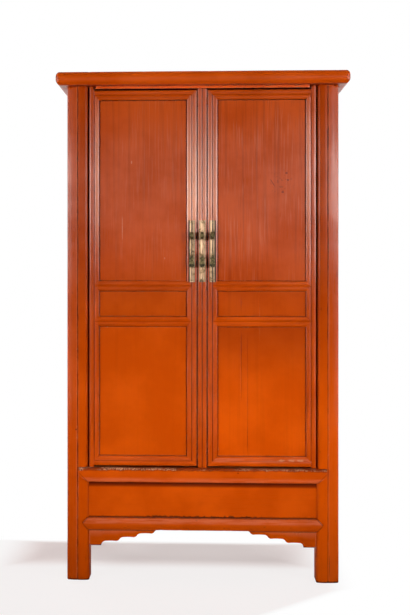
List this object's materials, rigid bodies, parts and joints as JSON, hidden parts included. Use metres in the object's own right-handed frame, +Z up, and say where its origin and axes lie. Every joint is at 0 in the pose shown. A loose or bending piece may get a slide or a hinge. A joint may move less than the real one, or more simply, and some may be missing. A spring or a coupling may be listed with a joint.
{
  "type": "wedding cabinet",
  "caption": "Tall lacquered cabinet with doors on wooden pivots, lift-out centre stile, drawers and a hidden storage space",
  "frame": {"origin": "floor level, middle of the bounding box in plan", "axes": "+Z up; the doors face -Y; +X to the right as seen from the front"},
  "size_m": [1.084, 0.568, 1.885],
  "materials": {
    "red_lacquer": "aged orange-red lacquer, satin, worn at the edges",
    "bare_wood": "unlacquered softwood, darkened with age",
    "plate_brass": "pale brass, rubbed",
    "dark_brass": "dark patinated brass"
  },
  "bodies": {
    "root": {"drawer_frame": "bare_wood", "floor_bearer": "bare_wood", "head_strip": "red_lacquer", "left_drawer_box": "bare_wood", "left_drawer_front": "red_lacquer", "left_drawer_knob": "dark_brass", "left_side_apron": "red_lacquer", "left_side_panels": "red_lacquer", "left_side_rails": "red_lacquer", "lower_rail": "red_lacquer", "post_front_left": "red_lacquer", "post_front_right": "red_lacquer", "post_rear_left": "red_lacquer", "post_rear_right": "red_lacquer", "rear_frame": "bare_wood", "rear_panels": "bare_wood", "right_drawer_box": "bare_wood", "right_drawer_front": "red_lacquer", "right_drawer_knob": "dark_brass", "right_side_apron": "red_lacquer", "right_side_panels": "red_lacquer", "right_side_rails": "red_lacquer", "shelf_board": "bare_wood", "sill_rail": "red_lacquer", "spandrel_left": "red_lacquer", "spandrel_right": "red_lacquer", "storage_floor": "bare_wood", "storage_front_panel": "red_lacquer", "top_battens": "bare_wood", "top_front_rail": "red_lacquer", "top_left_rail": "red_lacquer", "top_panel": "red_lacquer", "top_rear_rail": "red_lacquer", "top_right_rail": "red_lacquer"},
    "left_door": {"left_pivot_stile": "red_lacquer", "left_lock_stile": "red_lacquer", "left_door_end_rails": "red_lacquer", "left_waist_rails": "red_lacquer", "left_upper_panel": "red_lacquer", "left_waist_panel": "red_lacquer", "left_lower_panel": "red_lacquer", "left_plate": "plate_brass", "left_fixings": "dark_brass"},
    "left_pull": {"left_pull": "dark_brass"},
    "left_floor_board": {"left_floor_board": "bare_wood"},
    "right_door": {"right_pivot_stile": "red_lacquer", "right_lock_stile": "red_lacquer", "right_door_end_rails": "red_lacquer", "right_waist_rails": "red_lacquer", "right_upper_panel": "red_lacquer", "right_waist_panel": "red_lacquer", "right_lower_panel": "red_lacquer", "right_plate": "plate_brass", "right_fixings": "dark_brass"},
    "right_pull": {"right_pull": "dark_brass"},
    "right_floor_board": {"right_floor_board": "bare_wood"},
    "centre_stile": {"centre_stile": "red_lacquer", "centre_plate": "plate_brass", "centre_fixings": "dark_brass"},
    "centre_pull": {"centre_pull": "dark_brass"}
  },
  "joints": [
    {"name": "left_door_swing", "type": "hinge", "parent": "root", "child": "left_door", "pos_m": [-0.4105, -0.231, 1.1], "axis": [0, 0, 1], "range_deg": [-105, 0]},
    {"name": "right_door_swing", "type": "hinge", "parent": "root", "child": "right_door", "pos_m": [0.4105, -0.231, 1.1], "axis": [0, 0, 1], "range_deg": [0, 105]},
    {"name": "centre_stile_lift", "type": "slide", "parent": "root", "child": "centre_stile", "axis": [0, 0, 1], "range_m": [0, 0.009]},
    {"name": "left_pull_swing", "type": "hinge", "parent": "left_door", "child": "left_pull", "pos_m": [-0.0385, -0.2518, 1.208], "axis": [-1, 0, 0], "range_deg": [0, 90]},
    {"name": "centre_pull_swing", "type": "hinge", "parent": "centre_stile", "child": "centre_pull", "pos_m": [0, -0.2518, 1.208], "axis": [-1, 0, 0], "range_deg": [0, 90]},
    {"name": "right_pull_swing", "type": "hinge", "parent": "right_door", "child": "right_pull", "pos_m": [0.0385, -0.2518, 1.208], "axis": [-1, 0, 0], "range_deg": [0, 90]},
    {"name": "left_floor_board_lift", "type": "slide", "parent": "root", "child": "left_floor_board", "axis": [0, 0, 1], "range_m": [0, 0.12]},
    {"name": "right_floor_board_lift", "type": "slide", "parent": "root", "child": "right_floor_board", "axis": [0, 0, 1], "range_m": [0, 0.12]}
  ]
}
